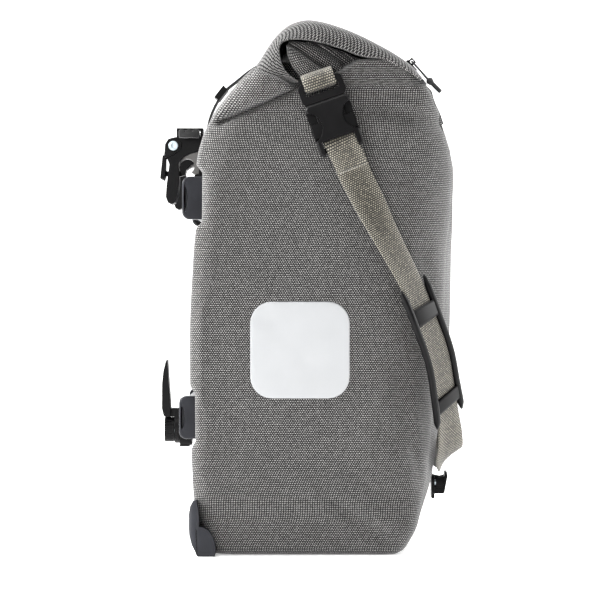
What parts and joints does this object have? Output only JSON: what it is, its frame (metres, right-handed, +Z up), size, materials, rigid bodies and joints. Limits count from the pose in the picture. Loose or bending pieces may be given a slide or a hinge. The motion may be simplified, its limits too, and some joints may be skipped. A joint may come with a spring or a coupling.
{
  "type": "bicycle pannier bag",
  "caption": "Tall roll-top fabric pannier with rack hooks on sliding rails, a carrying strap with side buckles, a turning lower fin and corner guards.",
  "frame": {"origin": "middle of the bag's base, on the surface it stands on", "axes": "+Z up, -X towards the rack, +X the outer face, Y along the width"},
  "size_m": [0.2497, 0.346, 0.42],
  "materials": {
    "melange_fabric": "grey two-tone basket weave, matt, coated inside",
    "olive_webbing": "olive grey polyester webbing with a paler edge",
    "black_webbing": "thin black webbing",
    "black_plastic": "moulded nylon, fine matt grain",
    "charcoal_plastic": "moulded charcoal nylon with a soft edge highlight",
    "rail_aluminium": "dark anodised extrusion",
    "screw_steel": "stainless steel, turned",
    "reflective_film": "silver white retroreflective film",
    "stiffener_plastic": "black polyethylene sheet",
    "pocket_fabric": "dark lining fabric",
    "zip_cord": "black braided cord",
    "zip_coil": "black coil zip with a water-resistant film",
    "hook_liner": "grey nylon liner"
  },
  "bodies": {
    "bag": {"bag_body": "melange_fabric", "closure_roll": "melange_fabric", "closure_stiffener": "stiffener_plastic", "back_board": "stiffener_plastic", "base_board": "stiffener_plastic", "inner_pocket": "pocket_fabric", "upper_rail": "rail_aluminium", "lower_rail": "rail_aluminium", "upper_rail_screws": "screw_steel", "lower_rail_screws": "screw_steel", "strap_pad": "black_plastic", "front_hook": "black_plastic", "front_hook_rivets": "screw_steel", "zip_tape": "zip_coil", "zip_teeth": "zip_coil", "back_strap": "black_webbing", "back_buckle": "black_plastic", "reflector_near": "reflective_film", "corner_guard_near": "charcoal_plastic", "upper_rail_cap_near": "charcoal_plastic", "lower_rail_cap_near": "charcoal_plastic", "buckle_female_near": "black_plastic", "buckle_male_near": "black_plastic", "roll_webbing_near": "olive_webbing", "shoulder_strap_near": "olive_webbing", "strap_tail_near": "olive_webbing", "reflector_far": "reflective_film", "corner_guard_far": "charcoal_plastic", "upper_rail_cap_far": "charcoal_plastic", "lower_rail_cap_far": "charcoal_plastic", "buckle_female_far": "black_plastic", "buckle_male_far": "black_plastic", "roll_webbing_far": "olive_webbing", "shoulder_strap_far": "olive_webbing", "strap_tail_far": "olive_webbing"},
    "handle": {"carry_handle": "black_webbing"},
    "lower_slider": {"lower_carriage": "black_plastic", "lower_stud": "screw_steel"},
    "fin": {"lower_fin": "black_plastic"},
    "knob": {"lower_knob": "black_plastic"},
    "zip_pull": {"zip_slider": "black_plastic", "zip_cord": "zip_cord", "zip_knot": "zip_cord", "zip_tail": "zip_cord"},
    "hook_near": {"hook_body_near": "black_plastic", "hook_insert_near": "hook_liner", "pivot_screw_near": "screw_steel"},
    "lever_near": {"release_lever_near": "black_plastic"},
    "prong_near_a": {"buckle_prong_near_a": "black_plastic"},
    "prong_near_b": {"buckle_prong_near_b": "black_plastic"},
    "hook_far": {"hook_body_far": "black_plastic", "hook_insert_far": "hook_liner", "pivot_screw_far": "screw_steel"},
    "lever_far": {"release_lever_far": "black_plastic"},
    "prong_far_a": {"buckle_prong_far_a": "black_plastic"},
    "prong_far_b": {"buckle_prong_far_b": "black_plastic"}
  },
  "joints": [
    {"name": "handle_lift", "type": "slide", "parent": "bag", "child": "handle", "axis": [0, 0, 1], "range_m": [0, 0.0025], "stiffness_N_per_m": 400},
    {"name": "hook_near_slide", "type": "slide", "parent": "bag", "child": "hook_near", "axis": [0, 1, 0], "range_m": [-0.008, 0.008]},
    {"name": "lever_near_turn", "type": "hinge", "parent": "hook_near", "child": "lever_near", "pos_m": [-0.111, -0.072, 0.3255], "axis": [0, 1, 0], "range_deg": [0, 22.5]},
    {"name": "hook_far_slide", "type": "slide", "parent": "bag", "child": "hook_far", "axis": [0, 1, 0], "range_m": [-0.008, 0.008]},
    {"name": "lever_far_turn", "type": "hinge", "parent": "hook_far", "child": "lever_far", "pos_m": [-0.111, 0.072, 0.3255], "axis": [0, 1, 0], "range_deg": [0, 22.5]},
    {"name": "lower_hook_slide", "type": "slide", "parent": "bag", "child": "lower_slider", "axis": [0, 1, 0], "range_m": [-0.07, 0.07]},
    {"name": "fin_turn", "type": "hinge", "parent": "lower_slider", "child": "fin", "pos_m": [-0.111, 0, 0.0953], "axis": [1, 0, 0], "range_deg": [-90, 90]},
    {"name": "knob_turn", "type": "hinge", "parent": "lower_slider", "child": "knob", "pos_m": [-0.117, 0, 0.0953], "axis": [1, 0, 0], "continuous": true},
    {"name": "zip_slide", "type": "slide", "parent": "bag", "child": "zip_pull", "axis": [0.6743, 0, -0.7385], "range_m": [0, 0.025]},
    {"name": "prong_near_a_press", "type": "slide", "parent": "bag", "child": "prong_near_a", "axis": [0.9455, 0, 0.3256], "range_m": [0, 0.0025], "stiffness_N_per_m": 500},
    {"name": "prong_near_b_press", "type": "slide", "parent": "bag", "child": "prong_near_b", "axis": [-0.9455, 0, -0.3256], "range_m": [0, 0.0025]},
    {"name": "prong_far_a_press", "type": "slide", "parent": "bag", "child": "prong_far_a", "axis": [-0.9455, 0, -0.3256], "range_m": [0, 0.0025], "stiffness_N_per_m": 500},
    {"name": "prong_far_b_press", "type": "slide", "parent": "bag", "child": "prong_far_b", "axis": [0.9455, 0, 0.3256], "range_m": [0, 0.0025]}
  ],
  "couplings": [
    {"joint": "lever_near_turn", "follows": "handle_lift", "rad_per_m": 153.59},
    {"joint": "lever_far_turn", "follows": "handle_lift", "rad_per_m": 153.59},
    {"joint": "prong_near_b_press", "follows": "prong_near_a_press", "ratio": 1},
    {"joint": "prong_far_b_press", "follows": "prong_far_a_press", "ratio": 1}
  ]
}
